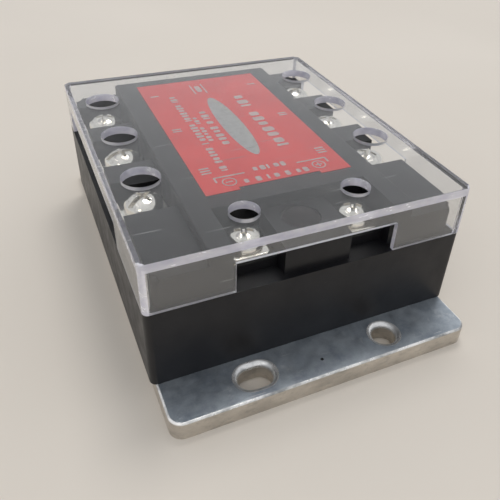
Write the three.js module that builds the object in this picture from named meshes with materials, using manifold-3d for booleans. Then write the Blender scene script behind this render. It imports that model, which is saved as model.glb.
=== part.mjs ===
// Three-phase solid state relay on an aluminium mounting plate, with a clear lift-off cover.
// Millimetres, +Z up. The origin is the centre of the plate's underside.
// +Y runs from the input end to the far end; the line terminals are on the +X side.
import * as THREE from "three";
import { mergeVertices } from "three/addons/utils/BufferGeometryUtils.js";
import Module from "manifold-3d";

const wasm = await Module();
wasm.setup();

// ---------------------------------------------------------------- driving dimensions

const CLEARANCE = 0.3;

const plate = { width: 72.5, length: 110, thick: 4.8, corner: 3 };
const mounting = { x: 16.2, y: 49.25, bore: 5.6, slotRun: 2.2 };

const body = { width: 74.4, length: 87.5, corner: 1.5, wall: 2.4, top: 24.5, cavityTop: 16 };
const upper = { width: 70, length: 83, corner: 1.8, top: 31.2, edge: 1.2 };
const platform = { width: 47, top: 34.1, edge: 0.6, wall: 2.3, roof: 2.2 };
const notch = { width: 36.8, depth: 12.7, seatFront: -38.8, seat: 26.8 };
const centreBlock = { left: -7.3, right: 8.2, front: -42.3 };
const bay = { width: 13.4, floor: 25 };

const cover = { wall: 1.1, top: 36.9, roof: 2, foot: 24.6, corner: 1.2, edge: 0.5 };
const frontWindow = { width: 37, top: 31.9 };
const sideWindow = { near: -21, far: 37.4, top: 31 };

const indicator = { y: -34.3, diameter: 8.4, thick: 2.4 };
const label = { width: 35.8, near: -24.3, far: 37.4, thick: 0.2, notchWidth: 20, notchDepth: 1 };

const board = { width: 62, near: -37.5, far: 38.5, thick: 1.6, top: 15.8 };
const substrate = { width: 50, length: 62, thick: 1 };
const thyristor = { x: [-14, 14], y: [-6, 6], height: 4 };
const optocoupler = { x: [-15, -8], y: [-4.5, 4.5], height: 3.6 };
const capacitor = { x: [-5, 4], y: [-6, 6], height: 11 };
const resistor = { x: 10, diameter: 4.4, halfLength: 6 };
const ledProfile = [[0, 0], [2.9, 0], [2.9, 1], [2.5, 1], [2.5, 6], [1.8, 7.8], [0, 8.5]];
const legFoot = plate.thick + substrate.thick + CLEARANCE;

const boardFoot = board.top - board.thick - 1;
const washer = { gap: 0.1, corner: 1 };

// A power terminal is an M5 screw, an input terminal an M4 screw.
const powerSize = {
  seat: bay.floor, tabLength: 11, tabWidth: 11.2, tabThick: 1.2,
  tongueWidth: 7, reach: 10.1, legBottom: legFoot,
  nut: 8, nutThick: 3.5, nutBore: 5.2, washerWidth: 10.4, washerThick: 1.1, screwHole: 5.5,
  head: 8.8, headThick: 3.6, shank: 4.8, driverHole: 8.7,
};
const inputSize = {
  seat: notch.seat, tabLength: 8.8, tabWidth: 9.2, tabThick: 0.8,
  tongueWidth: 5, reach: 9.6, legBottom: boardFoot,
  nut: 7, nutThick: 3, nutBore: 4.3, washerWidth: 8.6, washerThick: 0.8, screwHole: 4.6,
  head: 7.8, headThick: 2.4, shank: 3.9, driverHole: 6.6,
};
const SHANK_TIP = 17.8;

// Each terminal's own +X points out of the housing, the way its wire comes in.
const POWER_X = 29.3;
const POWER_Y = [28.3, 7, -14.3];
const terminals = [
  { name: "input_minus", x: -13.1, y: -34, turn: -Math.PI / 2, size: inputSize },
  { name: "input_plus", x: 13.1, y: -34, turn: -Math.PI / 2, size: inputSize },
  ...POWER_Y.map((y, i) => ({ name: `line_${i + 1}`, x: POWER_X, y, turn: 0, size: powerSize })),
  ...POWER_Y.map((y, i) => ({ name: `load_${i + 1}`, x: -POWER_X, y, turn: Math.PI, size: powerSize })),
];

// ---------------------------------------------------------------- finishes

const finishes = {
  castAluminium: { color: 0x8d9498, roughness: 0.5, metalness: 0.9 },
  blackPlastic: { color: 0x17181a, roughness: 0.45, metalness: 0 },
  clearPlastic: { color: 0xd9dae0, roughness: 0.08, metalness: 0, transparent: true, opacity: 0.3 },
  redLabel: { color: 0xc8434a, roughness: 0.4, metalness: 0 },
  smokedLens: { color: 0x2a2628, roughness: 0.25, metalness: 0 },
  platedSteel: { color: 0xc9c6bd, roughness: 0.28, metalness: 1 },
  tinnedCopper: { color: 0xb9b6ae, roughness: 0.35, metalness: 1 },
  circuitBoard: { color: 0x1f5a3a, roughness: 0.5, metalness: 0 },
  ceramic: { color: 0xe8e6df, roughness: 0.6, metalness: 0 },
  component: { color: 0x202225, roughness: 0.5, metalness: 0 },
  capacitor: { color: 0x8a7a3c, roughness: 0.5, metalness: 0 },
  resistor: { color: 0x9fb3bd, roughness: 0.5, metalness: 0 },
  ledBody: { color: 0x9fd6a0, roughness: 0.2, metalness: 0 },
  sealant: { color: 0x9a9a96, roughness: 0.7, metalness: 0 },
};

// ---------------------------------------------------------------- shape helpers

function roundedRect(width, length, radius) {
  const x = width / 2;
  const y = length / 2;
  const shape = new THREE.Shape();
  shape.moveTo(x - radius, -y);
  shape.absarc(x - radius, radius - y, radius, -Math.PI / 2, 0);
  shape.absarc(x - radius, y - radius, radius, 0, Math.PI / 2);
  shape.absarc(radius - x, y - radius, radius, Math.PI / 2, Math.PI);
  shape.absarc(radius - x, radius - y, radius, Math.PI, Math.PI * 1.5);
  shape.closePath();
  return shape;
}

// A slot with round ends, running along X between two centres `run` apart.
function slotOutline(diameter, run) {
  const shape = new THREE.Shape();
  shape.absarc(run / 2, 0, diameter / 2, -Math.PI / 2, Math.PI / 2);
  shape.absarc(-run / 2, 0, diameter / 2, Math.PI / 2, Math.PI * 1.5);
  shape.closePath();
  return shape;
}

function slab(shape, bottom, top, curveSegments = 6) {
  const options = { depth: top - bottom, bevelEnabled: false, curveSegments };
  return new THREE.ExtrudeGeometry(shape, options).translate(0, 0, bottom);
}

// A slab whose top and bottom edges are rounded inside its outline.
function softSlab(shape, bottom, top, edge) {
  const options = {
    depth: top - bottom - 2 * edge,
    bevelThickness: edge,
    bevelSize: edge,
    bevelOffset: -edge,
    bevelSegments: 3,
    curveSegments: 4,
  };
  return new THREE.ExtrudeGeometry(shape, options).translate(0, 0, bottom + edge);
}

function box([x0, x1], [y0, y1], [z0, z1]) {
  const geometry = new THREE.BoxGeometry(x1 - x0, y1 - y0, z1 - z0);
  return geometry.translate((x0 + x1) / 2, (y0 + y1) / 2, (z0 + z1) / 2);
}

function rod(diameter, bottom, top, sides = 16) {
  const geometry = new THREE.CylinderGeometry(diameter / 2, diameter / 2, top - bottom, sides);
  return geometry.rotateX(Math.PI / 2).translate(0, 0, (top + bottom) / 2);
}

function toSolid(geometry) {
  const bare = geometry.clone();
  bare.deleteAttribute("normal");
  bare.deleteAttribute("uv");
  const merged = mergeVertices(bare, 1e-4);
  const vertProperties = merged.attributes.position.array;
  const triVerts = new Uint32Array(merged.index.array);
  return new wasm.Manifold(new wasm.Mesh({ numProp: 3, vertProperties, triVerts }));
}

function toGeometry(solid) {
  const mesh = solid.getMesh();
  const geometry = new THREE.BufferGeometry();
  geometry.setAttribute("position", new THREE.BufferAttribute(mesh.vertProperties, 3));
  geometry.setIndex(new THREE.BufferAttribute(mesh.triVerts, 1));
  geometry.computeVertexNormals();
  return geometry;
}

function join(...geometries) {
  return toGeometry(geometries.map(toSolid).reduce((whole, piece) => whole.add(piece)));
}

function cut(geometry, tools) {
  const solids = tools.map(toSolid);
  return toGeometry(solids.reduce((whole, tool) => whole.subtract(tool), toSolid(geometry)));
}

function atTerminal(terminal, geometry) {
  return geometry.rotateZ(terminal.turn).translate(terminal.x, terminal.y, 0);
}

const group = new THREE.Group();

function add(name, geometry, finish, parent = group) {
  const mesh = new THREE.Mesh(geometry, new THREE.MeshStandardMaterial(finishes[finish]));
  mesh.name = name;
  parent.add(mesh);
  return mesh;
}

// ---------------------------------------------------------------- base plate

// One slot and one round hole at each end, the far pair turned half a turn from the near pair.
function basePlateGeometry() {
  const { x, y, bore, slotRun } = mounting;
  const depth = [-1, plate.thick + 1];
  const holes = [-1, 1].flatMap((end) => [
    slab(slotOutline(bore, slotRun), ...depth, 8).translate(end * x, end * y, 0),
    rod(bore, ...depth, 20).translate(-end * x, end * y, 0),
  ]);
  return cut(slab(roundedRect(plate.width, plate.length, plate.corner), 0, plate.thick), holes);
}

// ---------------------------------------------------------------- housing

const notchEnd = notch.depth - upper.length / 2;
const cavityHalf = platform.width / 2 - platform.wall;

// Nut pocket, bore for the screw's tip, and the passage that the terminal's tongue takes inwards.
function terminalCutters(terminal) {
  const { seat, nut, nutThick, shank, tabLength, tabThick, tongueWidth, reach } = terminal.size;
  const nutHalf = nut / 2 + CLEARANCE;
  const tongueHalf = tongueWidth / 2 + CLEARANCE;
  const nutSeat = seat - nutThick - 2 * CLEARANCE;
  return [
    box([-nutHalf, nutHalf], [-nutHalf, nutHalf], [nutSeat, seat + 1]),
    rod(shank + 1.2, SHANK_TIP - 0.8, nutSeat + 0.1, 12),
    box(
      [-reach - CLEARANCE, -tabLength / 2 + 1],
      [-tongueHalf, tongueHalf],
      [seat - CLEARANCE, seat + tabThick + CLEARANCE],
    ),
  ].map((tool) => atTerminal(terminal, tool));
}

function bayCutters() {
  const inner = platform.width / 2;
  return POWER_Y.flatMap((y) => {
    const span = [y - bay.width / 2, y + bay.width / 2];
    return [
      box([inner, upper.width], span, [bay.floor, cover.top]),
      box([-upper.width, -inner], span, [bay.floor, cover.top]),
    ];
  });
}

// The notch drops to the centre block. The niche on each side of the block drops to the ledge in
// front, and to the raised seat of its terminal behind.
function notchCutters() {
  const half = notch.width / 2;
  const front = [-upper.length, notch.seatFront];
  const back = [notch.seatFront, notchEnd];
  const niches = [[-half, centreBlock.left], [centreBlock.right, half]];
  return [
    box([-half, half], [-upper.length, notchEnd], [upper.top, cover.top]),
    ...niches.flatMap((niche) => [
      box(niche, front, [body.top, cover.top]),
      box(niche, back, [notch.seat, cover.top]),
    ]),
  ];
}

function cavityCutters() {
  const wide = roundedRect(body.width - 2 * body.wall, body.length - 2 * body.wall, body.corner);
  const farWall = upper.length / 2 - platform.wall;
  return [
    slab(wide, plate.thick - 1, body.cavityTop, 3),
    box(
      [-cavityHalf, cavityHalf],
      [notchEnd + platform.wall, farWall],
      [body.cavityTop - 1, platform.top - platform.roof],
    ),
    rod(indicator.diameter + CLEARANCE, body.cavityTop - 1, cover.top, 20).translate(0, indicator.y, 0),
  ];
}

function housingGeometry() {
  const { width, length, corner, top } = body;
  const { left, right, front } = centreBlock;
  const shell = join(
    slab(roundedRect(width, length, corner), plate.thick, top, 4),
    softSlab(roundedRect(upper.width, upper.length, upper.corner), top - 4, upper.top, upper.edge),
    softSlab(roundedRect(platform.width, upper.length, 1), top, platform.top, platform.edge),
    box([left, right], [front, notchEnd], [top - 4, upper.top]),
  );
  return cut(shell, [
    ...cavityCutters(),
    ...bayCutters(),
    ...notchCutters(),
    ...terminals.flatMap(terminalCutters),
  ]);
}

// A bead of sealant between the housing's inner wall and the plate.
function sealGeometry() {
  const outer = { width: body.width - 2 * body.wall - 0.4, length: body.length - 2 * body.wall - 0.4 };
  const bead = 1.6;
  const ring = roundedRect(outer.width, outer.length, body.corner);
  ring.holes.push(roundedRect(outer.width - 2 * bead, outer.length - 2 * bead, 1));
  return slab(ring, plate.thick, plate.thick + bead, 3);
}

// ---------------------------------------------------------------- cover

function coverGeometry() {
  const { wall, top, roof, foot, corner, edge } = cover;
  const outer = softSlab(roundedRect(body.width, body.length, corner), foot - 2, top, edge);
  const inner = roundedRect(body.width - 2 * wall, body.length - 2 * wall, 1);
  const below = foot - 3;
  const { near, far } = sideWindow;
  const beyond = body.width;
  const inside = body.width / 2 - 2 * wall;
  return cut(outer, [
    box([-beyond, beyond], [-beyond, beyond], [below, foot]),
    slab(inner, below, top - roof, 3),
    box(
      [-frontWindow.width / 2, frontWindow.width / 2],
      [-body.length, 2 * wall - body.length / 2],
      [below, frontWindow.top],
    ),
    box([inside, beyond], [near, far], [below, sideWindow.top]),
    box([-beyond, -inside], [near, far], [below, sideWindow.top]),
    ...terminals.map(({ x, y, size }) =>
      rod(size.driverHole, top - 2 * roof, top + 1, 20).translate(x, y, 0),
    ),
  ]);
}

// ---------------------------------------------------------------- label and indicator

function labelGeometry() {
  const { width, near, far, notchWidth, notchDepth } = label;
  const shape = new THREE.Shape();
  shape.moveTo(-width / 2, near);
  shape.lineTo(-notchWidth / 2, near);
  shape.lineTo(-notchWidth / 2, near + notchDepth);
  shape.lineTo(notchWidth / 2, near + notchDepth);
  shape.lineTo(notchWidth / 2, near);
  shape.lineTo(width / 2, near);
  shape.lineTo(width / 2, far);
  shape.lineTo(-width / 2, far);
  shape.closePath();
  return slab(shape, platform.top, platform.top + label.thick);
}

function addIndicator() {
  const top = upper.top - 0.1;
  const { y, diameter, thick } = indicator;
  const lens = add("indicator_window", rod(diameter, top - thick, top, 20), "smokedLens");
  lens.position.y = y;
  const led = add("status_led", latheAboutZ(ledProfile, 12), "ledBody");
  led.position.set(0, y, board.top + 0.1);
}

// A profile of [radius, height] points turned about Z.
function latheAboutZ(profile, sides) {
  const points = profile.map(([radius, height]) => new THREE.Vector2(radius, height));
  return new THREE.LatheGeometry(points, sides).rotateX(Math.PI / 2);
}

// ---------------------------------------------------------------- terminals

// Heights of one terminal's stack: tab, washer, then the screw's head.
function stackHeights({ seat, tabThick, washerThick }) {
  const tabTop = seat + tabThick;
  const washerBottom = tabTop + washer.gap;
  const washerTop = washerBottom + washerThick;
  return { tabTop, washerBottom, washerTop, headSeat: washerTop + washer.gap };
}

// A flat tab under the screw, whose tongue runs inwards and turns down as a solder leg.
function tabGeometry(size) {
  const { seat, tabLength, tabWidth, tabThick, tongueWidth, reach, legBottom, screwHole } = size;
  const { tabTop } = stackHeights(size);
  const half = tabLength / 2;
  const height = [seat, tabTop];
  const tongue = [-tongueWidth / 2, tongueWidth / 2];
  const flat = join(
    box([-half, half], [-tabWidth / 2, tabWidth / 2], height),
    box([-reach, 1 - half], tongue, height),
    box([-reach, tabThick - reach], tongue, [legBottom, tabTop]),
  );
  return cut(flat, [rod(screwHole, seat - 1, tabTop + 1)]);
}

function nutGeometry({ seat, nut, nutThick, nutBore }) {
  const top = seat - CLEARANCE;
  const blank = slab(roundedRect(nut, nut, 0.8), top - nutThick, top, 1);
  return cut(blank, [rod(nutBore, top - nutThick - 1, top + 1)]);
}

function washerGeometry(size) {
  const { washerWidth, screwHole } = size;
  const { washerBottom, washerTop } = stackHeights(size);
  const outline = roundedRect(washerWidth, washerWidth, washer.corner);
  const blank = slab(outline, washerBottom, washerTop, 2);
  return cut(blank, [rod(screwHole, washerBottom - 1, washerTop + 1)]);
}

// A domed head with one straight driver slot and one short cross slot.
function screwGeometry(size) {
  const { head, headThick, shank } = size;
  const { headSeat } = stackHeights(size);
  const radius = head / 2;
  const headTop = headSeat + headThick;
  const profile = [
    [0, SHANK_TIP], [shank / 2 - 0.6, SHANK_TIP], [shank / 2, SHANK_TIP + 0.8],
    [shank / 2, headSeat], [radius, headSeat], [radius, headSeat + headThick * 0.4],
    [radius * 0.88, headSeat + headThick * 0.74], [radius * 0.62, headSeat + headThick * 0.94],
    [0, headTop],
  ];
  const slotFloor = headTop - headThick * 0.5;
  const crossHalf = radius * 0.55;
  return cut(latheAboutZ(profile, 18), [
    box([-0.65, 0.65], [-radius - 1, radius + 1], [slotFloor, headTop + 1]),
    box([-crossHalf, crossHalf], [-0.65, 0.65], [slotFloor, headTop + 1]),
  ]);
}

function addTerminal({ name, x, y, turn, size }) {
  const seat = new THREE.Group();
  seat.position.set(x, y, 0);
  seat.rotation.z = turn;
  group.add(seat);
  add(`${name}_tab`, tabGeometry(size), "tinnedCopper", seat);
  add(`${name}_nut`, nutGeometry(size), "platedSteel", seat);
  add(`${name}_washer`, washerGeometry(size), "platedSteel", seat);
  add(`${name}_screw`, screwGeometry(size), "platedSteel", seat);
}

// ---------------------------------------------------------------- electronics

// The board is pierced by the solder legs of all eight terminals.
function boardGeometry() {
  const { width, near, far, thick, top } = board;
  const legHoles = terminals.map((terminal) => {
    const { reach, tabThick, tongueWidth } = terminal.size;
    const half = tongueWidth / 2 + CLEARANCE;
    const span = [-reach - CLEARANCE, tabThick - reach + CLEARANCE];
    return atTerminal(terminal, box(span, [-half, half], [top - thick - 1, top + 1]));
  });
  return cut(box([-width / 2, width / 2], [near, far], [top - thick, top]), legHoles);
}

// A resistor lies along Y, just clear of the board.
function addResistor(phase) {
  const { x, diameter, halfLength } = resistor;
  const lying = rod(diameter, -halfLength, halfLength, 12).rotateX(Math.PI / 2);
  const mesh = add(`snubber_resistor_${phase}`, lying, "resistor");
  mesh.position.set(x, 0, board.top + diameter / 2 + 0.1);
  return mesh;
}

// Substrate, one thyristor pair, optocoupler, capacitor and resistor for each phase.
function addElectronics() {
  const sheet = add("ceramic_substrate", box(
    [-substrate.width / 2, substrate.width / 2],
    [-substrate.length / 2, substrate.length / 2],
    [plate.thick, plate.thick + substrate.thick],
  ), "ceramic");
  sheet.position.y = POWER_Y[1];
  add("control_board", boardGeometry(), "circuitBoard");

  const block = ({ x, y, height }, seat) => box(x, y, [seat, seat + height]);
  POWER_Y.forEach((y, i) => {
    const phase = i + 1;
    const parts = [
      add(`thyristor_pair_${phase}`, block(thyristor, plate.thick + substrate.thick), "component"),
      add(`optocoupler_${phase}`, block(optocoupler, board.top), "component"),
      add(`snubber_capacitor_${phase}`, block(capacitor, board.top), "capacitor"),
      addResistor(phase),
    ];
    parts.forEach((part) => (part.position.y = y));
  });
}

// ---------------------------------------------------------------- assembly

add("base_plate", basePlateGeometry(), "castAluminium");
add("base_seal", sealGeometry(), "sealant");
add("housing", housingGeometry(), "blackPlastic");
add("cover", coverGeometry(), "clearPlastic");
add("rating_label", labelGeometry(), "redLabel");
addIndicator();
terminals.forEach(addTerminal);
addElectronics();

export default group;
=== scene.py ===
"""Looks of a three-phase solid state relay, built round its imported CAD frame.

Shapes are drawn in millimetres in the CAD frame, and each finished mesh is scaled to metres.
"""

import math
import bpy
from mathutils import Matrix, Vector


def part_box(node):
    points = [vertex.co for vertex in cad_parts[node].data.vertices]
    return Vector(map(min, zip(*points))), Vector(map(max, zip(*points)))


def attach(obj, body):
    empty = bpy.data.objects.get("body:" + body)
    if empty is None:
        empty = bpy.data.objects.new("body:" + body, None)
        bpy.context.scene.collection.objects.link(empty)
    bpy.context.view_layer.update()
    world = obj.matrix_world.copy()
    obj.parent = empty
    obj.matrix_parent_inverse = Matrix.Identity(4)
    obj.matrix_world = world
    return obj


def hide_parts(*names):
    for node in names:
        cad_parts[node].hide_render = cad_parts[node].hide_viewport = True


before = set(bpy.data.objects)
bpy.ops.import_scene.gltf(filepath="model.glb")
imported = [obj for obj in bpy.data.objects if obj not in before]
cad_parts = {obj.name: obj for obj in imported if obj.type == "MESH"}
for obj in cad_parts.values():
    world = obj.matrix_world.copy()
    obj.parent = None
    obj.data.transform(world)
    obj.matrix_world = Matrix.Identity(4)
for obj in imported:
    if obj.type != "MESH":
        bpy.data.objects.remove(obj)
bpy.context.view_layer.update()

from types import SimpleNamespace

import bmesh
import bpy
from mathutils import Matrix, Vector

MM = 0.001
PAST = 1  # how far a cutter runs past the face that it cuts
SQUARE = 0.999  # a unit normal with a part above this points along an axis


# ------------------------------------------------------------------ driving dimensions (mm)


def cad(node):
    """Lowest and highest corner of a CAD node, in millimetres."""
    low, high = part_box(node)
    return low / MM, high / MM


PLATE_LOW, PLATE_HIGH = cad("base_plate")
HOUSING_LOW, HOUSING_HIGH = cad("housing")
COVER_LOW, COVER_HIGH = cad("cover")
LABEL_LOW, LABEL_HIGH = cad("rating_label")
LENS_LOW, LENS_HIGH = cad("indicator_window")

PLATE_CORNER, PLATE_EDGE = 3, 0.45
MOUNT_X, MOUNT_Y = 16.2, 49.25
MOUNT_BORE, SLOT_RUN = 5.6, 2.2
HOLE_RIM, HOLE_LOWER_RIM = 1.25, 0.4
PIT_PLACE, PIT_RADIUS, PIT_DEPTH = (-0.9, -50.7), 0.4, 0.5

BODY_TOP = 24.5
BODY_CORNER = 1.5
UPPER_X, UPPER_Y, UPPER_TOP = 35.0, 41.5, 31.2
UPPER_CORNER, UPPER_EDGE = 1.8, 1.3
UPPER_ROOT = BODY_TOP - 4  # where the posts and the centre block start, inside the shell
PLATFORM_X = 23.5
PLATFORM_CORNER, PLATFORM_EDGE = 0.8, 0.5
NOTCH_X, NOTCH_Y = 18.4, -28.8
BLOCK_LEFT, BLOCK_RIGHT, BLOCK_FRONT = -7.3, 8.2, -42.3
INPUT_SEAT, INPUT_SEAT_FRONT = 26.8, -38.8
BAY_HALF, BAY_FLOOR = 6.7, 25.0
LENS_GAP = 0.15
HOUSING_EDGE = 0.28

CAVITY_TOP = 16.0
CAVITY_WALL, CAVITY_CORNER = 2.4, 2.4
PLATFORM_WALL, PLATFORM_ROOF = 2.3, 2.2
POCKET_GAP = 0.3
SHANK_POCKET_RADIUS, SHANK_POCKET_FLOOR = 3.0, 17.0
TONGUE_START = 4

COVER_WALL, COVER_ROOF = 1.1, 2.0
COVER_CORNER, COVER_INNER_CORNER = 1.2, 1
COVER_TOP_EDGE, COVER_EDGE = 0.5, 0.15
FRONT_WINDOW_X, FRONT_WINDOW_TOP = 18.5, 31.9
SIDE_WINDOW_NEAR, SIDE_WINDOW_FAR, SIDE_WINDOW_TOP = -21.0, 37.4, 31.0

INPUT_SIZE = SimpleNamespace(
    seat=INPUT_SEAT, driver_hole=3.3, shank=1.95, screw_hole=2.3,
    tab_length=8.8, tab_width=9.2, tab_thick=0.8, tongue=5, tongue_reach=9.6,
)
POWER_SIZE = SimpleNamespace(
    seat=BAY_FLOOR, driver_hole=4.35, shank=2.4, screw_hole=2.75,
    tab_length=11, tab_width=11.2, tab_thick=1.2, tongue=7, tongue_reach=10.1,
)

INPUTS = ("input_minus", "input_plus")
POWERS = tuple(f"{side}_{phase}" for side in ("line", "load") for phase in (1, 2, 3))
TERMINALS = INPUTS + POWERS


def centre(terminal):
    """The axis of a terminal's screw in plan."""
    low, high = cad(f"{terminal}_washer")
    return (low.x + high.x) / 2, (low.y + high.y) / 2


def size_of(terminal):
    """Radii of the holes and shank, the height of the seat, and the tab's sizes."""
    return INPUT_SIZE if terminal in INPUTS else POWER_SIZE


def outward(terminal):
    """Unit step in plan from a terminal towards its wire entry."""
    x, _ = centre(terminal)
    if terminal in INPUTS:
        return Vector((0, -1, 0))
    return Vector((math.copysign(1, x), 0, 0))


# ------------------------------------------------------------------ outlines


def arc(x, y, radius, start, end, steps):
    """Points along an arc, with its angles in degrees."""
    angles = [math.radians(start + (end - start) * i / steps) for i in range(steps + 1)]
    return [(x + radius * math.cos(a), y + radius * math.sin(a)) for a in angles]


def rounded_rect(x0, x1, y0, y1, radius, steps):
    corners = (
        (x1 - radius, y0 + radius, -90),
        (x1 - radius, y1 - radius, 0),
        (x0 + radius, y1 - radius, 90),
        (x0 + radius, y0 + radius, 180),
    )
    points = []
    for x, y, start in corners:
        points += arc(x, y, radius, start, start + 90, steps)
    return points


def ellipse(x, y, half_x, half_y, steps=64):
    return [(x + half_x * u, y + half_y * v) for u, v in circle(0, 0, 1, steps)]


def rect(x0, x1, y0, y1):
    return [(x0, y0), (x1, y0), (x1, y1), (x0, y1)]


def circle(x, y, radius, steps=48):
    return arc(x, y, radius, 0, 360, steps)[:-1]


def stadium(x, y, radius, run, steps=20):
    """A slot along X with round ends whose centres are `run` apart."""
    if run == 0:
        return circle(x, y, radius, 2 * steps + 2)
    return arc(x + run / 2, y, radius, -90, 90, steps) + arc(x - run / 2, y, radius, 90, 270, steps)


def at_height(outline, z):
    return [(x, y, z) for x, y in outline]


# ------------------------------------------------------------------ solids


def loft(rings):
    """A closed solid through rings of equal length, each anticlockwise from above, rising."""
    mesh = bmesh.new()
    loops = [[mesh.verts.new(point) for point in ring] for ring in rings]
    for lower, upper in zip(loops, loops[1:]):
        for i, corner in enumerate(lower):
            j = (i + 1) % len(lower)
            mesh.faces.new((corner, lower[j], upper[j], upper[i]))
    mesh.faces.new(list(reversed(loops[0])))
    mesh.faces.new(loops[-1])
    return mesh


def prism(outline, bottom, top):
    return loft([at_height(outline, bottom), at_height(outline, top)])


def block(x0, x1, y0, y1, bottom, top):
    return prism(rect(x0, x1, y0, y1), bottom, top)


def turned(x, y, profile, sides=64):
    """A solid of revolution through (radius, height) points, rising."""
    return loft([at_height(circle(x, y, radius, sides), z) for radius, z in profile])


def round_edges(mesh, radius, segments, chosen):
    """Rounds the edges for which chosen(first end, second end) is true."""
    edges = [e for e in mesh.edges if chosen(e.verts[0].co, e.verts[1].co)]
    bmesh.ops.bevel(
        mesh, geom=edges, offset=radius, segments=segments, profile=0.5,
        affect="EDGES", clamp_overlap=True,
    )
    return mesh


def on_level(z):
    return lambda a, b: abs(a.z - z) < 1e-4 and abs(b.z - z) < 1e-4


def as_object(name, mesh):
    data = bpy.data.meshes.new(name)
    mesh.to_mesh(data)
    mesh.free()
    piece = bpy.data.objects.new(name, data)
    bpy.context.scene.collection.objects.link(piece)
    return piece


def apply_modifiers(piece):
    """Replaces the mesh of a piece by the one that its modifiers give."""
    depsgraph = bpy.context.evaluated_depsgraph_get()
    depsgraph.update()
    result = bpy.data.meshes.new_from_object(piece.evaluated_get(depsgraph))
    piece.modifiers.clear()
    old, piece.data = piece.data, result
    result.name = piece.name
    bpy.data.meshes.remove(old)


def combine(piece, tools, operation):
    """Joins or cuts piece with each tool in turn, and removes the tools."""
    for tool in tools:
        tool_object = as_object("tool", tool)
        modifier = piece.modifiers.new("combine", "BOOLEAN")
        modifier.operation = operation
        modifier.solver = "EXACT"
        modifier.object = tool_object
        apply_modifiers(piece)
        bpy.data.objects.remove(tool_object)
    return piece


def join(piece, tools):
    return combine(piece, tools, "UNION")


def cut(piece, tools):
    return combine(piece, tools, "DIFFERENCE")


def tidy_faces(piece):
    """Merges flat neighbouring faces, so that an edge bevel sees only real edges."""
    mesh = bmesh.new()
    mesh.from_mesh(piece.data)
    bmesh.ops.remove_doubles(mesh, verts=mesh.verts, dist=1e-4)
    bmesh.ops.dissolve_limit(
        mesh, angle_limit=math.radians(1), verts=mesh.verts, edges=mesh.edges,
    )
    mesh.to_mesh(piece.data)
    mesh.free()
    return piece


def soften(piece, width, segments=2, angle=35):
    """Rounds every edge sharper than angle, in degrees."""
    modifier = piece.modifiers.new("soften", "BEVEL")
    modifier.width = width
    modifier.segments = segments
    modifier.limit_method = "ANGLE"
    modifier.angle_limit = math.radians(angle)
    modifier.use_clamp_overlap = True
    apply_modifiers(piece)
    return piece


def finish_mesh(piece):
    """Scales a drawn mesh to metres and shades it smooth with crisp flats."""
    piece.data.transform(Matrix.Scale(MM, 4))
    piece.data.shade_smooth()
    piece.data.set_sharp_from_angle(angle=math.radians(40))
    modifier = piece.modifiers.new("flats", "WEIGHTED_NORMAL")
    modifier.keep_sharp = True
    apply_modifiers(piece)
    return piece


def register(piece, body, material, nodes=()):
    """Gives a finished piece its materials and its body, and hides the CAD nodes that it stands for."""
    for item in material if isinstance(material, list) else [material]:
        piece.data.materials.append(item)
    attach(piece, body)
    if nodes:
        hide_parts(*nodes)


# ------------------------------------------------------------------ material graph


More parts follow.
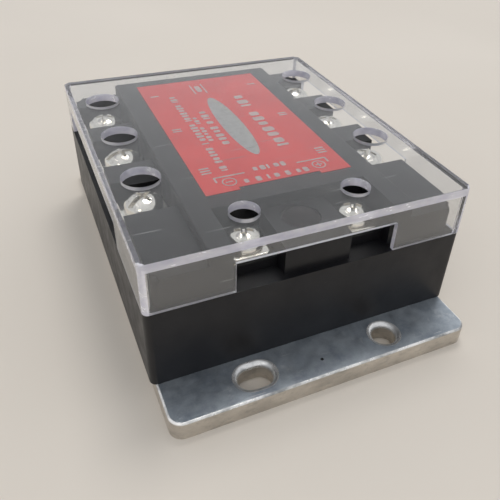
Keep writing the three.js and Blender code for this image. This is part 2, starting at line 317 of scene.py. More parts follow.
class Surface:
    """A procedural material round one Principled shader. Textures run in object space, in metres."""

    def __init__(self, name, **sockets):
        self.material = bpy.data.materials.new(name)
        self.material.use_nodes = True
        self.tree = self.material.node_tree
        self.shader = self.tree.nodes["Principled BSDF"]
        self.place = self.node("ShaderNodeTexCoord").outputs["Object"]
        for socket, value in sockets.items():
            self.shader.inputs[socket.replace("_", " ")].default_value = value

    def node(self, kind, **settings):
        made = self.tree.nodes.new(kind)
        for key, value in settings.items():
            setattr(made, key, value)
        return made

    def wire(self, output, socket):
        self.tree.links.new(output, socket)

    def noise(self, size_mm, stretch=(1, 1, 1), turn=0.0, detail=3.0, roughness=0.55):
        """Cloudy noise whose features are about size_mm across, longer where stretch is over 1."""
        mapping = self.node("ShaderNodeMapping")
        mapping.inputs["Scale"].default_value = [1 / s for s in stretch]
        mapping.inputs["Rotation"].default_value = (0, 0, math.radians(turn))
        self.wire(self.place, mapping.inputs["Vector"])
        texture = self.node("ShaderNodeTexNoise")
        texture.inputs["Scale"].default_value = 1 / (size_mm * MM)
        texture.inputs["Detail"].default_value = detail
        texture.inputs["Roughness"].default_value = roughness
        self.wire(mapping.outputs["Vector"], texture.inputs["Vector"])
        return texture.outputs["Fac"]

    def spots(self, size_mm):
        """Distance to scattered points about size_mm apart."""
        texture = self.node("ShaderNodeTexVoronoi")
        texture.inputs["Scale"].default_value = 1 / (size_mm * MM)
        self.wire(self.place, texture.inputs["Vector"])
        return texture.outputs["Distance"]

    def ramp(self, value, *stops):
        """A colour or grey for each (position, colour) stop."""
        made = self.node("ShaderNodeValToRGB")
        elements = made.color_ramp.elements
        while len(elements) < len(stops):
            elements.new(0.5)
        for element, (position, colour) in zip(elements, stops):
            element.position = position
            grey = isinstance(colour, (int, float))
            element.color = (colour, colour, colour, 1) if grey else (*colour, 1)
        self.wire(value, made.inputs["Fac"])
        return made.outputs["Color"]

    def mix(self, factor, first, second):
        made = self.node("ShaderNodeMix", data_type="RGBA")
        self.wire(factor, made.inputs["Factor"])
        for value, socket in ((first, made.inputs["A"]), (second, made.inputs["B"])):
            self.feed(value, socket)
        return made.outputs["Result"]

    def maths(self, operation, first, second):
        made = self.node("ShaderNodeMath", operation=operation)
        self.feed(first, made.inputs[0])
        self.feed(second, made.inputs[1])
        return made.outputs["Value"]

    def feed(self, value, socket):
        if isinstance(value, (int, float)):
            socket.default_value = value
        elif isinstance(value, tuple):
            socket.default_value = (*value, 1)
        else:
            self.wire(value, socket)

    def colour(self, value):
        self.wire(value, self.shader.inputs["Base Color"])

    def roughness(self, value):
        self.wire(value, self.shader.inputs["Roughness"])

    def bump(self, height, depth_mm):
        made = self.node("ShaderNodeBump")
        made.inputs["Strength"].default_value = 1.0
        made.inputs["Distance"].default_value = depth_mm * MM
        self.wire(height, made.inputs["Height"])
        self.wire(made.outputs["Normal"], self.shader.inputs["Normal"])


def aluminium_top():
    surface = Surface("plate_top", Metallic=0.85)
    cloud = surface.noise(7, detail=7, roughness=0.72)
    tone = surface.ramp(cloud, (0.34, (0.23, 0.265, 0.31)), (0.66, (0.44, 0.485, 0.53)))
    streak = surface.noise(0.5, stretch=(14, 1, 1), turn=24, detail=2)
    scratch = surface.ramp(streak, (0.7, 0.0), (0.76, 0.9))
    stain = surface.ramp(surface.noise(6, detail=8, roughness=0.7), (0.58, 0.0), (0.7, 0.9))
    marks = surface.maths("MAXIMUM", scratch, stain)
    surface.colour(surface.mix(marks, tone, (0.58, 0.6, 0.62)))
    surface.roughness(surface.ramp(surface.noise(2.5, detail=5), (0.3, 0.4), (0.75, 0.62)))
    surface.bump(surface.maths("ADD", surface.noise(0.35), streak), 0.014)
    return surface.material


def aluminium_side():
    surface = Surface("plate_side", Metallic=0.9)
    cloud = surface.noise(5, stretch=(2, 2, 1), detail=6, roughness=0.65)
    tone = surface.ramp(cloud, (0.3, (0.44, 0.41, 0.37)), (0.72, (0.72, 0.67, 0.6)))
    graze = surface.ramp(surface.noise(0.9, stretch=(2, 2, 1), detail=6), (0.52, 0.0), (0.72, 0.45))
    surface.colour(surface.mix(graze, tone, (0.3, 0.29, 0.27)))
    surface.roughness(surface.ramp(surface.noise(2.5), (0.3, 0.36), (0.7, 0.58)))
    surface.bump(surface.noise(0.5, stretch=(8, 8, 1)), 0.015)
    return surface.material


def aluminium_edge(name, metallic, dark):
    """Rubbed metal, bright where it is rubbed and of the given dark colour where it is not. The bright
    patches are also a painted highlight, standing for the reflection that the rounded edges catch.
    """
    surface = Surface(name, Metallic=metallic)
    wear_and_highlight = surface.noise(1.8, stretch=(2, 2, 1), detail=4)
    surface.colour(surface.ramp(wear_and_highlight, (0.35, dark), (0.6, (0.95, 0.95, 0.94))))
    surface.roughness(surface.ramp(wear_and_highlight, (0.3, 0.42), (0.7, 0.2)))
    surface.bump(surface.noise(0.4), 0.01)
    return surface.material


def black_plastic():
    surface = Surface("black_plastic", Specular_IOR_Level=0.36)
    cloud = surface.noise(9, detail=5)
    tone = surface.ramp(cloud, (0.3, (0.005, 0.005, 0.0065)), (0.7, (0.011, 0.011, 0.013)))
    dust = surface.ramp(surface.noise(0.7, detail=6), (0.68, 0.0), (0.8, 0.35))
    surface.colour(surface.mix(dust, tone, (0.09, 0.09, 0.09)))
    surface.roughness(surface.ramp(surface.noise(4, detail=4), (0.3, 0.34), (0.75, 0.5)))
    surface.bump(surface.noise(0.25, detail=2), 0.006)
    return surface.material


def clear_plastic(name, milk):
    """Polished sheet with a few hairline scratches and specks of dust, made cloudy by `milk`."""
    surface = Surface(name, IOR=1.5)
    haze = surface.noise(11, detail=5)
    surface.colour(surface.ramp(haze, (0.3, (0.94, 0.95, 0.96)), (0.7, (0.98, 0.985, 0.99))))
    hairline = surface.noise(0.5, stretch=(30, 1, 1), turn=-32, detail=2)
    scratch = surface.ramp(hairline, (0.7, 0.0), (0.76, 1.0))
    speck = surface.ramp(surface.spots(2.6), (0.03, 1.0), (0.06, 0.0))
    marks = surface.maths("MAXIMUM", scratch, speck)
    clear = surface.maths("SUBTRACT", 1.0 - milk, surface.maths("MULTIPLY", marks, 0.3))
    surface.wire(clear, surface.shader.inputs["Transmission Weight"])
    surface.roughness(surface.maths(
        "ADD", surface.ramp(haze, (0.3, 0.01), (0.8, 0.05)), surface.maths("MULTIPLY", marks, 0.2)
    ))
    surface.bump(surface.noise(16, detail=1), 0.02)
    return surface.material


def clear_edge():
    """Moulded edges and hole walls, painted pale lilac: a painted highlight that stands for the light
    which the clear plastic's edges gather.
    """
    surface = Surface("clear_plastic_edge_painted_glow", IOR=1.5, Transmission_Weight=0.3)
    cloud = surface.noise(1.6, stretch=(3, 1, 1), detail=3)
    surface.colour(surface.ramp(cloud, (0.3, (0.7, 0.69, 0.82)), (0.65, (0.95, 0.94, 1.0))))
    surface.roughness(surface.ramp(cloud, (0.3, 0.12), (0.7, 0.3)))
    surface.bump(surface.noise(0.6), 0.01)
    return surface.material


def red_film():
    surface = Surface("red_label", Specular_IOR_Level=0.35)
    cloud = surface.noise(12, detail=4)
    surface.colour(surface.ramp(cloud, (0.3, (0.92, 0.035, 0.03)), (0.7, (1.0, 0.06, 0.05))))
    surface.roughness(surface.ramp(surface.noise(2, detail=3), (0.3, 0.38), (0.7, 0.5)))
    surface.bump(surface.noise(0.6), 0.004)
    return surface.material


def printed(name, dark, light):
    surface = Surface(name)
    surface.colour(surface.ramp(surface.noise(1.2, detail=4), (0.3, dark), (0.6, light)))
    surface.roughness(surface.ramp(surface.noise(0.8), (0.3, 0.4), (0.7, 0.55)))
    surface.bump(surface.noise(0.3), 0.004)
    return surface.material


def plated(name, dark, light, gloss, matt):
    """Bright plating with faint hammering and rubbed patches."""
    surface = Surface(name, Metallic=1.0)
    cloud = surface.noise(2.2, detail=4)
    surface.colour(surface.ramp(cloud, (0.3, dark), (0.7, light)))
    surface.roughness(surface.ramp(surface.noise(1.1, detail=4), (0.35, gloss), (0.75, matt)))
    surface.bump(surface.noise(0.9, detail=2), 0.01)
    return surface.material


def smoked_lens():
    surface = Surface("smoked_lens", Specular_IOR_Level=0.05)
    cloud = surface.noise(3, detail=3)
    surface.colour(surface.ramp(cloud, (0.3, (0.016, 0.011, 0.012)), (0.7, (0.03, 0.022, 0.023))))
    surface.roughness(surface.ramp(cloud, (0.3, 0.3), (0.8, 0.45)))
    surface.bump(surface.noise(0.5), 0.004)
    return surface.material


def moulded(name, dark, light, gloss=0.35, matt=0.55):
    """An opaque moulded or fired body with a little colour variation and grain."""
    surface = Surface(name)
    surface.colour(surface.ramp(surface.noise(4, detail=4), (0.3, dark), (0.7, light)))
    surface.roughness(surface.ramp(surface.noise(2, detail=3), (0.3, gloss), (0.7, matt)))
    surface.bump(surface.noise(0.4), 0.012)
    return surface.material


def floor_paint():
    surface = Surface("pale_floor", Specular_IOR_Level=0.3)
    cloud = surface.noise(160, detail=3)
    surface.colour(surface.ramp(cloud, (0.3, (0.66, 0.61, 0.545)), (0.7, (0.7, 0.65, 0.585))))
    surface.roughness(surface.ramp(surface.noise(40), (0.3, 0.5), (0.7, 0.6)))
    return surface.material


PLATE_TOP = aluminium_top()
PLATE_SIDE = aluminium_side()
PLATE_RIM = aluminium_edge("plate_hole_rim", 0.8, (0.5, 0.51, 0.52))
# painted highlight: this rubbed-edge material is near-white where rubbed, which also stands for the
# floor's reflection in the plate's outer bevel
PLATE_WEAR_AND_HIGHLIGHT = aluminium_edge("plate_worn_edge_and_highlight", 0.4, (0.3, 0.31, 0.32))
BLACK = black_plastic()
CLEAR = clear_plastic("clear_plastic", 0.0)
CLEAR_SIDE = clear_plastic("clear_plastic_side", 0.06)
# painted highlight: a pale lilac colour standing for light gathered in the cover's clear edges
CLEAR_EDGE_GLOW = clear_edge()
RED = red_film()
WHITE_PRINT = printed("white_print", (0.6, 0.44, 0.43), (0.74, 0.58, 0.56))
SILVER_PRINT = printed("silver_print", (0.42, 0.43, 0.42), (0.52, 0.53, 0.52))
NICKEL = plated("nickel_plate", (0.7, 0.67, 0.61), (0.9, 0.87, 0.8), 0.1, 0.24)
TINNED = plated("tinned_terminal", (0.58, 0.55, 0.48), (0.76, 0.73, 0.65), 0.1, 0.24)
SMOKED = smoked_lens()
PIT = moulded("casting_pit", (0.02, 0.02, 0.02), (0.06, 0.055, 0.05), 0.7, 0.9)


# ------------------------------------------------------------------ base plate


def hole_cutter(x, y, run):
    """A mounting hole whose upper rim is rounded over and lower rim just broken."""
    radius, top = MOUNT_BORE / 2, PLATE_HIGH.z
    lower = radius + HOLE_LOWER_RIM
    rings = [(lower, -PAST), (lower, 0), (radius, HOLE_LOWER_RIM)]
    steps = 6
    for i in range(steps + 1):
        angle = math.radians(90 * i / steps)
        rings.append((radius + HOLE_RIM * (1 - math.cos(angle)), top - HOLE_RIM * (1 - math.sin(angle))))
    rings.append((radius + HOLE_RIM, top + PAST))
    return loft([at_height(stadium(x, y, r, run), z) for r, z in rings])


def sort_plate_faces(piece):
    """Gives each face the number of its material in base_plate's list."""
    flat, side, rim, pit, worn_and_lit = range(5)
    steepest_side = 0.05
    band = 0.6  # a little wider than the rounding of the outer edges
    pit_centre, pit_reach = Vector((*PIT_PLACE, 0)) * MM, 0.6 * MM
    edge_x, edge_y = (PLATE_HIGH.x - band) * MM, (PLATE_HIGH.y - band) * MM
    corner_x, corner_y = edge_x - PLATE_CORNER * MM, edge_y - PLATE_CORNER * MM
    for face in piece.data.polygons:
        normal = face.normal
        x, y = abs(face.center.x), abs(face.center.y)
        if (face.center - pit_centre).xy.length < pit_reach:
            face.material_index = pit
        elif abs(normal.z) > SQUARE:
            face.material_index = flat
        elif max(abs(normal.x), abs(normal.y)) > SQUARE or abs(normal.z) < steepest_side:
            face.material_index = side
        elif x > edge_x or y > edge_y or (x > corner_x and y > corner_y):
            # the outer edge band: rubbed metal whose bright patches are partly a painted highlight
            face.material_index = worn_and_lit
        else:
            face.material_index = rim


def base_plate():
    low, high = PLATE_LOW, PLATE_HIGH
    mesh = prism(rounded_rect(low.x, high.x, low.y, high.y, PLATE_CORNER, 10), low.z, high.z)
    for level in (low.z, high.z):
        round_edges(mesh, PLATE_EDGE, 3, on_level(level))
    piece = as_object("base_plate_machined", mesh)
    cutters = [
        hole_cutter(end * side * MOUNT_X, end * MOUNT_Y, SLOT_RUN if side > 0 else 0)
        for end in (-1, 1)
        for side in (-1, 1)
    ]
    cutters.append(prism(circle(*PIT_PLACE, PIT_RADIUS, 12), high.z - PIT_DEPTH, high.z + PAST))
    cut(piece, cutters)
    finish_mesh(piece)
    materials = [PLATE_TOP, PLATE_SIDE, PLATE_RIM, PIT, PLATE_WEAR_AND_HIGHLIGHT]
    register(piece, "root", materials, ["base_plate"])
    sort_plate_faces(piece)


# ------------------------------------------------------------------ housing


def upper_block():
    """The corner posts and partitions before the bays are cut, with rounded outer edges."""
    outline = rounded_rect(-UPPER_X, UPPER_X, -UPPER_Y, UPPER_Y, UPPER_CORNER, 6)
    mesh = prism(outline, UPPER_ROOT, UPPER_TOP)
    return round_edges(mesh, UPPER_EDGE, 4, on_level(UPPER_TOP))


def platform():
    """The raised middle that carries the label."""
    outline = rounded_rect(-PLATFORM_X, PLATFORM_X, -UPPER_Y, UPPER_Y, PLATFORM_CORNER, 4)
    mesh = prism(outline, BODY_TOP, HOUSING_HIGH.z)
    return round_edges(mesh, PLATFORM_EDGE, 3, on_level(HOUSING_HIGH.z))


def bay_cutters():
    """One open-sided bay round each power terminal."""
    cutters = []
    for terminal in POWERS:
        x, y = centre(terminal)
        inner, outer = sorted((math.copysign(PLATFORM_X, x), math.copysign(2 * UPPER_X, x)))
        cutters.append(block(inner, outer, y - BAY_HALF, y + BAY_HALF, BAY_FLOOR, COVER_HIGH.z))
    return cutters


def notch_cutters():
    """The input notch, and the stepped niches on both sides of its centre block."""
    front = -2 * UPPER_Y
    top = COVER_HIGH.z
    cutters = [block(-NOTCH_X, NOTCH_X, front, NOTCH_Y, UPPER_TOP, top)]
    for left, right in ((-NOTCH_X, BLOCK_LEFT), (BLOCK_RIGHT, NOTCH_X)):
        cutters.append(block(left, right, front, NOTCH_Y, INPUT_SEAT, top))
        cutters.append(block(left, right, front, INPUT_SEAT_FRONT, BODY_TOP, INPUT_SEAT + PAST))
    return cutters


def hidden_cutters():
    """The cavity for the electronics, open underneath, and the pockets under the terminals."""
    low, high = HOUSING_LOW, HOUSING_HIGH
    cavity = rounded_rect(
        low.x + CAVITY_WALL, high.x - CAVITY_WALL, low.y + CAVITY_WALL, high.y - CAVITY_WALL,
        CAVITY_CORNER, 4,
    )
    inner, near, far = PLATFORM_X - PLATFORM_WALL, NOTCH_Y + PLATFORM_WALL, UPPER_Y - PLATFORM_WALL
    cutters = [
        prism(cavity, low.z - PAST, CAVITY_TOP),
        block(-inner, inner, near, far, CAVITY_TOP - PAST, high.z - PLATFORM_ROOF),
    ]
    for terminal in TERMINALS:
        x, y = centre(terminal)
        nut_low, nut_high = cad(f"{terminal}_nut")
        cutters.append(block(
            nut_low.x - POCKET_GAP, nut_high.x + POCKET_GAP,
            nut_low.y - POCKET_GAP, nut_high.y + POCKET_GAP,
            nut_low.z - POCKET_GAP, size_of(terminal).seat + PAST,
        ))
        cutters.append(prism(circle(x, y, SHANK_POCKET_RADIUS, 24), SHANK_POCKET_FLOOR, nut_low.z))
        cutters.append(tongue_cutter(terminal))
    return cutters


def tongue_cutter(terminal):
    """The passage that lets a terminal's tongue run inwards to the cavity."""
    low, high = cad(f"{terminal}_tab")
    size = size_of(terminal)
    half = size.tongue / 2 + POCKET_GAP
    x, y = centre(terminal)
    bottom, top = size.seat - POCKET_GAP, high.z + POCKET_GAP
    if terminal in INPUTS:
        return block(x - half, x + half, y + TONGUE_START, high.y + POCKET_GAP, bottom, top)
    out = outward(terminal).x
    end = (low.x if out > 0 else high.x) - out * POCKET_GAP
    left, right = sorted((end, x - out * TONGUE_START))
    return block(left, right, y - half, y + half, bottom, top)


def housing():
    low, high = HOUSING_LOW, HOUSING_HIGH
    outline = rounded_rect(low.x, high.x, low.y, high.y, BODY_CORNER, 8)
    piece = as_object("housing_shell", prism(outline, low.z, BODY_TOP))
    centre_block = block(BLOCK_LEFT, BLOCK_RIGHT, BLOCK_FRONT, NOTCH_Y, UPPER_ROOT, UPPER_TOP)
    join(piece, [upper_block(), platform(), centre_block])
    lens_y, lens_radius = (LENS_LOW.y + LENS_HIGH.y) / 2, (LENS_HIGH.x - LENS_LOW.x) / 2
    lens_hole = prism(circle(0, lens_y, lens_radius + LENS_GAP, 48), CAVITY_TOP - PAST, UPPER_TOP + PAST)
    cut(piece, bay_cutters() + notch_cutters() + [lens_hole])
    tidy_faces(piece)
    soften(piece, HOUSING_EDGE)
    cut(piece, hidden_cutters())
    finish_mesh(piece)
    register(piece, "root", BLACK, ["housing"])


# ------------------------------------------------------------------ cover


def cover():
    low, high = COVER_LOW, COVER_HIGH
    wall = COVER_WALL
    mesh = prism(rounded_rect(low.x, high.x, low.y, high.y, COVER_CORNER, 8), low.z, high.z)
    round_edges(mesh, COVER_TOP_EDGE, 4, on_level(high.z))
    piece = as_object("cover_moulding", mesh)
    inner = rounded_rect(
        low.x + wall, high.x - wall, low.y + wall, high.y - wall, COVER_INNER_CORNER, 6
    )
    below, front, beyond = low.z - 2, low.y - 5, high.x + 5
    behind_front, inside = low.y + 2 * wall, high.x - 2 * wall
    cutters = [
        prism(inner, below, high.z - COVER_ROOF),
        block(-FRONT_WINDOW_X, FRONT_WINDOW_X, front, behind_front, below, FRONT_WINDOW_TOP),
        block(inside, beyond, SIDE_WINDOW_NEAR, SIDE_WINDOW_FAR, below, SIDE_WINDOW_TOP),
        block(-beyond, -inside, SIDE_WINDOW_NEAR, SIDE_WINDOW_FAR, below, SIDE_WINDOW_TOP),
    ]
    for terminal in TERMINALS:
        hole = circle(*centre(terminal), size_of(terminal).driver_hole, 56)
        cutters.append(prism(hole, high.z - 2 * COVER_ROOF, high.z + PAST))
    cut(piece, cutters)
    tidy_faces(piece)
    soften(piece, COVER_EDGE)
    split_level(piece, high.z - COVER_ROOF)
    for vertex in piece.data.vertices:
        vertex.co.z = min(vertex.co.z, high.z)
    finish_mesh(piece)
    register(piece, "cover", [CLEAR, CLEAR_EDGE_GLOW, CLEAR_SIDE], ["cover"])
    sort_cover_faces(piece)


def split_level(piece, z):
    """Adds a line of edges round the piece at one height."""
    mesh = bmesh.new()
    mesh.from_mesh(piece.data)
    everything = list(mesh.verts) + list(mesh.edges) + list(mesh.faces)
    bmesh.ops.bisect_plane(mesh, geom=everything, dist=1e-3, plane_co=(0, 0, z), plane_no=(0, 0, 1))
    mesh.to_mesh(piece.data)
    mesh.free()


def sort_cover_faces(piece):
    """Gives each face the number of its material in cover's list.

    The pale ones, painted with the pale lilac highlight that stands for light gathered in the edges, are
    the band round the rim, the driver-hole walls, the corners, and every rounded or cut edge.
    """
    clear, pale, wall = range(3)
    steepest_wall = 0.03
    downward = -0.9
    largest_jamb = 40 * MM**2
    roof = (COVER_HIGH.z - COVER_ROOF) * MM
    foot_top = (FRONT_WINDOW_TOP + 0.5) * MM
    for face in piece.data.polygons:
        normal, middle = face.normal, face.center
        square = max(abs(axis) for axis in normal) > SQUARE
        upright = abs(normal.z) < steepest_wall
        rounded = not square and not upright
        foot = normal.z < downward and middle.z < foot_top
        jamb = upright and square and middle.z < roof and face.area < largest_jamb
        rim = upright and middle.z > roof
        corner = upright and not square and normal.dot(middle) > 0
        if rounded or foot or jamb or rim or corner:
            face.material_index = pale
        else:
            face.material_index = wall if upright else clear


# ------------------------------------------------------------------ label


PRINT_THICK = 0.04

# the relative width and height of the blank blocks in a printed line, used in turn
BLOCK_WIDTHS = (0.72, 0.6, 0.76, 0.3, 0.7, 0.66, 0.55)
BLOCK_HEIGHTS = (1.0, 0.8, 1.0, 0.95, 0.85)

# (x, y, blocks in each word, block height, pitch, axis along which the line runs)
TEXT_LINES = (
    (-10.4, 27.3, (3, 7, 6, 1, 5, 2), 1.9, 1.64, "y"),
    (-5.5, 15.6, (4, 5), 2.1, 2.1, "y"),
    (-8.5, 12.7, (3, 5), 1.3, 1.7, "y"),
    (7.5, 22.4, (3, 7), 3.1, 3.2, "y"),
    (-4.2, -17.4, (5,), 1.9, 1.75, "x"),
    (-8.0, -21.6, (1, 1, 2, 1, 2), 1.9, 1.75, "x"),
)
# (x, y, width, length) of the three bars at the far end
FAR_BARS = ((-3.2, 30.5, 0.4, 6.6), (0.2, 30.5, 0.4, 6.6), (-1.5, 30.5, 1.5, 4.2))
# strokes beside each pair of power terminals, and their centres on the -X and +X sides
PHASE_TICKS = (
    (1, (-14.8, 29.1), (14.7, 29.4)),
    (2, (-14.9, 6.9), (14.8, 7.2)),
    (3, (-14.8, -14.6), (14.9, -14.6)),
)
TICK_PITCH, TICK_WIDTH, TICK_LENGTH = 1.1, 2.4, 0.55
# (x, y, width, length) of the lead that runs to each polarity sign, on the +X side
SIGN_LEADS = ((10.3, -18.2, 7.4, 0.45), (14.0, -19.1, 0.45, 2.2))
SIGN_X, SIGN_Y, SIGN_SIZE, SIGN_STROKE = 11.2, -20.7, 1.7, 0.38
SIGN_RING_RADIUS, SIGN_RING_STROKE = 1.55, 0.3
# (x, y, half width, half length) of the plain grey ellipse
PANEL = (-0.4, 6.1, 2.9, 17.4)


def label():
    low, high = LABEL_LOW, LABEL_HIGH
    notch, depth = 10, 1
    outline = [
        (low.x, low.y), (-notch, low.y), (-notch, low.y + depth), (notch, low.y + depth),
        (notch, low.y), (high.x, low.y), (high.x, high.y), (low.x, high.y),
    ]
    piece = as_object("rating_label_film", prism(outline, low.z, high.z - PRINT_THICK))
    soften(piece, 0.05)
    finish_mesh(piece)
    register(piece, "root", RED, ["rating_label"])


def bar(x, y, width, length, turn=0.0):
    """The outline of a printed bar centred on (x, y), turned by some degrees."""
    corners = rounded_rect(-width / 2, width / 2, -length / 2, length / 2, 0.3 * min(width, length), 3)
    a = math.radians(turn)
    return [
        (x + u * math.cos(a) - v * math.sin(a), y + u * math.sin(a) + v * math.cos(a))
        for u, v in corners
    ]


def word_row(x, y, words, height, pitch, along):
    """Blank blocks of uneven length, standing for a printed line of `words` that starts at (x, y)."""
    blocks = []
    place = 0.0
    count = 0
    for letters in words:
        for _ in range(letters):
            count += 1
            width = pitch * BLOCK_WIDTHS[count % len(BLOCK_WIDTHS)]
            tall = height * BLOCK_HEIGHTS[count % len(BLOCK_HEIGHTS)]
            if along == "y":
                blocks.append(bar(x, y - place - width / 2, tall, width))
            else:
                blocks.append(bar(x + place + width / 2, y, width, tall))
            place += pitch
        place += 0.6 * pitch
    return blocks


def print_marks(name, outlines, material):
    """All marks of one ink, as one thin raised mesh on the label."""
    top = LABEL_HIGH.z
    whole = bmesh.new()
    for outline in outlines:
        part = prism(outline, top - PRINT_THICK, top)
        data = bpy.data.meshes.new("mark")
        part.to_mesh(data)
        part.free()
        whole.from_mesh(data)
        bpy.data.meshes.remove(data)
    piece = as_object(name, whole)
    finish_mesh(piece)
    register(piece, "root", material)


def ring_arcs(x, y, radius, width, pieces=24):
    """A printed circle line, as short bars that overlap a little."""
    overlap = 1.15
    length = 2 * math.pi * radius / pieces * overlap
    bars = []
    for i in range(pieces):
        turn = i * 360 / pieces
        a = math.radians(turn)
        bars.append(bar(x + radius * math.cos(a), y + radius * math.sin(a), width, length, turn))
    return bars


def label_marks():
    """Generic marks: blank bars for lines of text, phase ticks, and the input's polarity signs."""
    white = []
    for line in TEXT_LINES:
        white += word_row(*line)
    white += [bar(*size) for size in FAR_BARS]
    for count, *sides in PHASE_TICKS:
        for x, y in sides:
            first = y - TICK_PITCH * (count - 1) / 2
            white += [bar(x, first + TICK_PITCH * i, TICK_WIDTH, TICK_LENGTH) for i in range(count)]
    for side in (-1, 1):
        white += [bar(side * x, y, width, length) for x, y, width, length in SIGN_LEADS]
        white.append(bar(side * SIGN_X, SIGN_Y, SIGN_SIZE, SIGN_STROKE))
        white += ring_arcs(side * SIGN_X, SIGN_Y, SIGN_RING_RADIUS, SIGN_RING_STROKE)
    white.append(bar(SIGN_X, SIGN_Y, SIGN_STROKE, SIGN_SIZE))
    print_marks("rating_label_print", white, WHITE_PRINT)
    print_marks("rating_label_panel", [ellipse(*PANEL)], SILVER_PRINT)


# ------------------------------------------------------------------ terminals


HEAD_GAP = 0.1  # between a washer and the head above it
HEAD_INSET = 0.02  # keeps the round head inside the CAD box
SLOT_HALF, CROSS_WIDTH = 0.6, 0.95
SLOT_DEPTH, CROSS_DEPTH = 0.42, 0.62  # parts of the head's height
CROSS_REACH = 0.62  # part of the head's radius
WASHER_CORNER = 1.0
TAB_CORNER, TAB_BEND = 0.8, 1.2


def screw_head_profile(radius, seat, top):
    """Half section of a domed pan head, from its flat seat up."""
    height = top - seat
    chamfer = 0.12
    rim = 0.36  # the part of the height below the dome
    crown, fullness = 0.98, 0.9
    profile = [(radius - chamfer, seat), (radius, seat + chamfer), (radius, seat + rim * height)]
    steps = 8
    for i in range(1, steps + 1):
        angle = math.radians(90 * i / steps)
        reach = radius * (1 - crown * (1 - math.cos(angle)) ** fullness)
        profile.append((reach, seat + height * (rim + (1 - rim) * math.sin(angle))))
    return profile


def screw(terminal, turn):
    """A combination head: a full straight slot crossed by a tapered Phillips recess."""
    low, high = cad(f"{terminal}_screw")
    _, washer_high = cad(f"{terminal}_washer")
    x, y = centre(terminal)
    radius = (high.x - low.x + high.y - low.y) / 4
    seat = washer_high.z + HEAD_GAP
    shank = size_of(terminal).shank
    tip_inset, tip_length = 0.6, 0.8
    profile = [(shank - tip_inset, low.z), (shank, low.z + tip_length), (shank, seat)]
    profile += screw_head_profile(radius - HEAD_INSET, seat, high.z)
    piece = as_object(f"{terminal}_screw_plated", turned(0, 0, profile))
    head = high.z - seat
    slot_floor = high.z - SLOT_DEPTH * head
    cross_floor, cross_top = high.z - CROSS_DEPTH * head, high.z + 0.2
    cut(piece, [
        block(-radius - PAST, radius + PAST, -SLOT_HALF, SLOT_HALF, slot_floor, high.z + PAST),
        recess(CROSS_REACH * radius, CROSS_WIDTH, cross_floor, cross_top),
        recess(CROSS_REACH * radius, CROSS_WIDTH, cross_floor, cross_top, across=True),
    ])
    tidy_faces(piece)
    soften(piece, 0.1, angle=40)
    piece.data.transform(Matrix.Translation((x, y, 0)) @ Matrix.Rotation(math.radians(turn), 4, "Z"))
    finish_mesh(piece)
    register(piece, f"{terminal}_screw", NICKEL, [f"{terminal}_screw"])


def recess(reach, width, floor, top, across=False):
    """One wing of the cross recess, tapering down to its floor."""
    taper = 0.45
    rings = []
    for scale, z in ((taper, floor), (1.0, top)):
        a, b = reach * scale, width / 2 * scale
        outline = rect(-b, b, -a, a) if across else rect(-a, a, -b, b)
        rings.append(at_height(outline, z))
    return loft(rings)


def washer(terminal):
    """A square wire clamp with rounded corners and edges."""
    low, high = cad(f"{terminal}_washer")
    mesh = prism(rounded_rect(low.x, high.x, low.y, high.y, WASHER_CORNER, 5), low.z, high.z)
    piece = as_object(f"{terminal}_washer_plated", mesh)
    hole = circle(*centre(terminal), size_of(terminal).screw_hole, 32)
    cut(piece, [prism(hole, low.z - PAST, high.z + PAST)])
    tidy_faces(piece)
    soften(piece, 0.22, 3)
    finish_mesh(piece)
    register(piece, f"{terminal}_washer", NICKEL, [f"{terminal}_washer"])


def tab(terminal):
    """The bright terminal plate with its tongue and solder leg, drawn facing +X and then turned."""
    low, high = cad(f"{terminal}_tab")
    x, y = centre(terminal)
    size = size_of(terminal)
    half_length, half_width = size.tab_length / 2, size.tab_width / 2
    thick, reach, half_tongue = size.tab_thick, size.tongue_reach, size.tongue / 2
    flat = rounded_rect(-half_length, half_length, -half_width, half_width, TAB_CORNER, 5)
    under = high.z - thick
    piece = as_object(f"{terminal}_tab_plated", prism(flat, under, high.z))
    overlap = 1
    root = overlap - half_length
    bend = [(root, under), (root, high.z), (TAB_BEND - reach, high.z)]
    bend += [(px - reach + TAB_BEND, pz + high.z - TAB_BEND) for px, pz in arc(0, 0, TAB_BEND, 90, 180, 6)]
    bend += [(-reach, low.z), (thick - reach, low.z), (thick - reach, under)]
    join(piece, [side_prism(bend, -half_tongue, half_tongue)])
    cut(piece, [prism(circle(0, 0, size.screw_hole, 32), BAY_FLOOR - PAST, high.z + PAST)])
    tidy_faces(piece)
    soften(piece, 0.15)
    step = outward(terminal)
    turn = math.atan2(step.y, step.x)
    piece.data.transform(Matrix.Translation((x, y, 0)) @ Matrix.Rotation(turn, 4, "Z"))
    finish_mesh(piece)
    register(piece, "root", TINNED, [f"{terminal}_tab"])


def side_prism(outline, near, far):
    """A prism along Y from an (x, z) outline."""
    mesh = bmesh.new()
    loops = [[mesh.verts.new((x, y, z)) for x, z in outline] for y in (near, far)]
    for i in range(len(outline)):
        j = (i + 1) % len(outline)
        mesh.faces.new((loops[0][i], loops[0][j], loops[1][j], loops[1][i]))
    mesh.faces.new(loops[0])
    mesh.faces.new(list(reversed(loops[1])))
    bmesh.ops.recalc_face_normals(mesh, faces=mesh.faces)
    return mesh


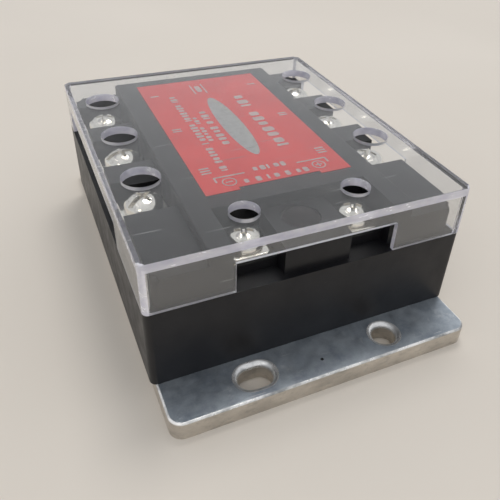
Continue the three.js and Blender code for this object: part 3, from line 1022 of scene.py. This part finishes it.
def indicator_window():
    """A round lens with a raised lip."""
    low, high = LENS_LOW, LENS_HIGH
    x, y = (low.x + high.x) / 2, (low.y + high.y) / 2
    radius = (high.x - low.x) / 2
    chamfer, edge = 0.3, 0.25
    lip_inner, dish_radius, dish_depth = 0.9, 1.2, 0.2
    profile = [
        (radius - chamfer, low.z), (radius, low.z + chamfer), (radius, high.z - edge),
        (radius - edge, high.z), (radius - lip_inner, high.z),
        (radius - dish_radius, high.z - dish_depth), (0.2, high.z - dish_depth),
    ]
    piece = as_object("indicator_window_lens", turned(x, y, profile, 72))
    finish_mesh(piece)
    register(piece, "root", SMOKED, ["indicator_window"])


# ------------------------------------------------------------------ electronics


def paint_nodes(material, *nodes):
    """Gives CAD nodes that stay as they are a better material."""
    for node in nodes:
        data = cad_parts[node].data
        data.materials.clear()
        data.materials.append(material)


def electronics():
    paint_nodes(moulded("sealant", (0.36, 0.36, 0.34), (0.45, 0.45, 0.43)), "base_seal")
    paint_nodes(moulded("alumina", (0.74, 0.73, 0.68), (0.84, 0.83, 0.78)), "ceramic_substrate")
    paint_nodes(moulded("solder_mask", (0.012, 0.09, 0.045), (0.02, 0.14, 0.07)), "control_board")
    paint_nodes(moulded("led_epoxy", (0.25, 0.55, 0.25), (0.35, 0.7, 0.35), 0.1, 0.2), "status_led")
    epoxy = moulded("chip_epoxy", (0.014, 0.014, 0.016), (0.026, 0.026, 0.028))
    film = moulded("capacitor_film", (0.28, 0.19, 0.04), (0.4, 0.28, 0.07), 0.25, 0.4)
    lacquer = moulded("resistor_lacquer", (0.28, 0.38, 0.43), (0.38, 0.48, 0.54), 0.3, 0.5)
    for phase in (1, 2, 3):
        paint_nodes(epoxy, f"thyristor_pair_{phase}", f"optocoupler_{phase}")
        paint_nodes(film, f"snubber_capacitor_{phase}")
        paint_nodes(lacquer, f"snubber_resistor_{phase}")
    paint_nodes(NICKEL, *(f"{terminal}_nut" for terminal in TERMINALS))


# ------------------------------------------------------------------ stage


def stage():
    """A wide floor whose top is level with the underside of the plate."""
    reach, depth = 4000, 20
    piece = as_object("floor", prism(rect(-reach, reach, -reach, reach), -depth, 0))
    finish_mesh(piece)
    piece.data.materials.append(floor_paint())


def soft_light(name, place, target, size, power, colour):
    data = bpy.data.lights.new(name, "AREA")
    data.shape = "DISK"
    data.size = size
    data.energy = power
    data.color = colour
    lamp = bpy.data.objects.new(name, data)
    lamp.location = place
    direction = Vector(target) - Vector(place)
    lamp.rotation_euler = direction.to_track_quat("-Z", "Y").to_euler()
    bpy.context.scene.collection.objects.link(lamp)


def studio():
    world = bpy.data.worlds.new("studio")
    world.use_nodes = True
    background = world.node_tree.nodes["Background"]
    background.inputs["Color"].default_value = (0.97, 0.98, 1.0, 1)
    background.inputs["Strength"].default_value = 0.74
    bpy.context.scene.world = world
    soft_light("overhead", (0.2, 0.3, 0.9), (0, 0, 0), 0.35, 2.4, (1.0, 0.97, 0.93))
    soft_light("fill", (-0.5, -0.5, 0.7), (0, 0, 0), 0.25, 0.5, (1.0, 0.96, 0.9))
    bpy.context.scene.view_settings.view_transform = "Standard"


def camera():
    """Three-quarter view from above the near left corner, with a slight roll."""
    place = Vector((-49.75, -122.08, 101.97)) * MM
    target = Vector((0.64, -18.82, 20.11)) * MM
    roll = math.radians(2.95)
    data = bpy.data.cameras.new("camera")
    data.sensor_width = 36
    data.lens = 41.23
    data.shift_x, data.shift_y = -0.0437, -0.0552
    data.clip_start = 0.005
    forward = (target - place).normalized()
    level = forward.cross(Vector((0, 0, 1))).normalized()
    upright = level.cross(forward)
    right = level * math.cos(roll) + upright * math.sin(roll)
    up = upright * math.cos(roll) - level * math.sin(roll)
    eye = bpy.data.objects.new("camera", data)
    eye.matrix_world = Matrix.Translation(place) @ Matrix((right, up, -forward)).transposed().to_4x4()
    bpy.context.scene.collection.objects.link(eye)
    bpy.context.scene.camera = eye


# ------------------------------------------------------------------ build

# how far each screw's slot is turned from the X axis, in degrees
SCREW_TURNS = {
    "input_minus": 70, "input_plus": 60, "line_1": 20, "line_2": 65, "line_3": 40,
    "load_1": 75, "load_2": 12, "load_3": 30,
}

camera()
studio()
stage()
base_plate()
housing()
cover()
label()
label_marks()
indicator_window()
for terminal in TERMINALS:
    tab(terminal)
    washer(terminal)
    screw(terminal, SCREW_TURNS[terminal])
electronics()
